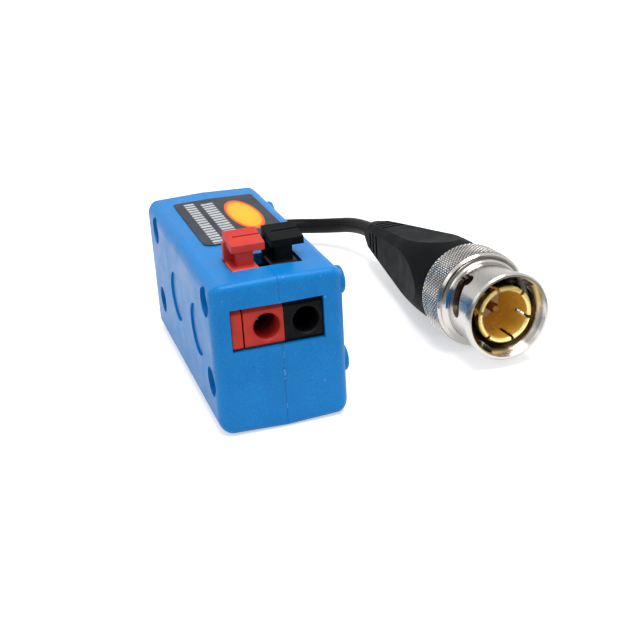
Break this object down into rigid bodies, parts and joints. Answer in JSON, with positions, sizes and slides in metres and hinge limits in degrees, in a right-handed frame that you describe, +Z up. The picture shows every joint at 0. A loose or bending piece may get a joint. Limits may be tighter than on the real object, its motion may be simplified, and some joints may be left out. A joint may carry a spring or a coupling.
{
  "type": "video balun",
  "caption": "Passive video balun: blue two-half case with press-lever wire terminals, side-stacking studs and a short black lead to a bayonet coax plug with a knurled nut.",
  "frame": {"origin": "under the middle of the case, on the plane where its two halves meet, at the height of its lowest edge", "axes": "+X right, square to the parting plane; +Y from the wire terminals to the lead; +Z up out of the labelled face with the levers"},
  "size_m": [0.0485, 0.0697, 0.0239],
  "materials": {
    "case_blue": "satin moulded plastic",
    "terminal_red": "satin moulded plastic",
    "terminal_black": "satin moulded plastic",
    "lever_red": "half gloss moulded plastic",
    "lever_black": "half gloss moulded plastic",
    "label_face": "printed film with dull laminate",
    "board_green": "solder mask over glass laminate",
    "core_ferrite": "fired ferrite",
    "winding_copper": "enamelled copper wire",
    "spring_steel": "rolled strip",
    "contact_tin": "tinned brass",
    "diode_black": "moulded epoxy",
    "capacitor_blue": "dipped lacquer",
    "lead_copper": "bare copper",
    "cable_black": "soft plastic jacket",
    "bush_black": "soft moulding",
    "boot_black": "soft moulding, half matt",
    "nut_nickel": "bright nickel plate",
    "body_nickel": "bright nickel plate",
    "contact_gold": "gold plate",
    "insulator_white": "turned plastic",
    "gasket_rubber": "silicone rubber"
  },
  "bodies": {
    "base": {"case_left": "case_blue", "case_right": "case_blue", "label": "label_face", "terminal_red": "terminal_red", "terminal_black": "terminal_black", "terminal_end_plate": "terminal_red", "spring_red": "spring_steel", "spring_black": "spring_steel", "contact_red": "contact_tin", "contact_black": "contact_tin", "circuit_board": "board_green", "balun_core": "core_ferrite", "winding_pair": "winding_copper", "winding_coax": "winding_copper", "surge_diode": "diode_black", "capacitor": "capacitor_blue", "lead_core": "lead_copper", "lead_screen": "lead_copper", "cable_bush": "bush_black", "cable": "cable_black", "plug_body": "body_nickel", "outer_contact": "contact_gold", "insulator": "insulator_white", "centre_pin": "contact_gold", "gasket": "gasket_rubber", "wave_washer": "spring_steel", "crimp_ferrule": "body_nickel", "plug_boot": "boot_black"},
    "lever_red": {"lever_red": "lever_red"},
    "lever_black": {"lever_black": "lever_black"},
    "thrust_washer": {"thrust_washer": "spring_steel"},
    "coupling_nut": {"coupling_nut": "nut_nickel"}
  },
  "joints": [
    {"name": "lever_red_press", "type": "slide", "parent": "base", "child": "lever_red", "axis": [0, 0, -1], "range_m": [0, 0.0015], "stiffness_N_per_m": 300, "springref_m": -0.003, "deforming": ["spring_red"]},
    {"name": "lever_black_press", "type": "slide", "parent": "base", "child": "lever_black", "axis": [0, 0, -1], "range_m": [0, 0.0015], "stiffness_N_per_m": 300, "springref_m": -0.003, "deforming": ["spring_black"]},
    {"name": "nut_draw", "type": "slide", "parent": "base", "child": "thrust_washer", "axis": [0.0279, -0.9989, 0.0366], "range_m": [0, 0.0006], "stiffness_N_per_m": 1000, "springref_m": -0.0005, "deforming": ["wave_washer"]},
    {"name": "nut_turn", "type": "hinge", "parent": "thrust_washer", "child": "coupling_nut", "pos_m": [0.03288, -0.00486, 0.00707], "axis": [0.0279, -0.9989, 0.0366], "continuous": true}
  ]
}
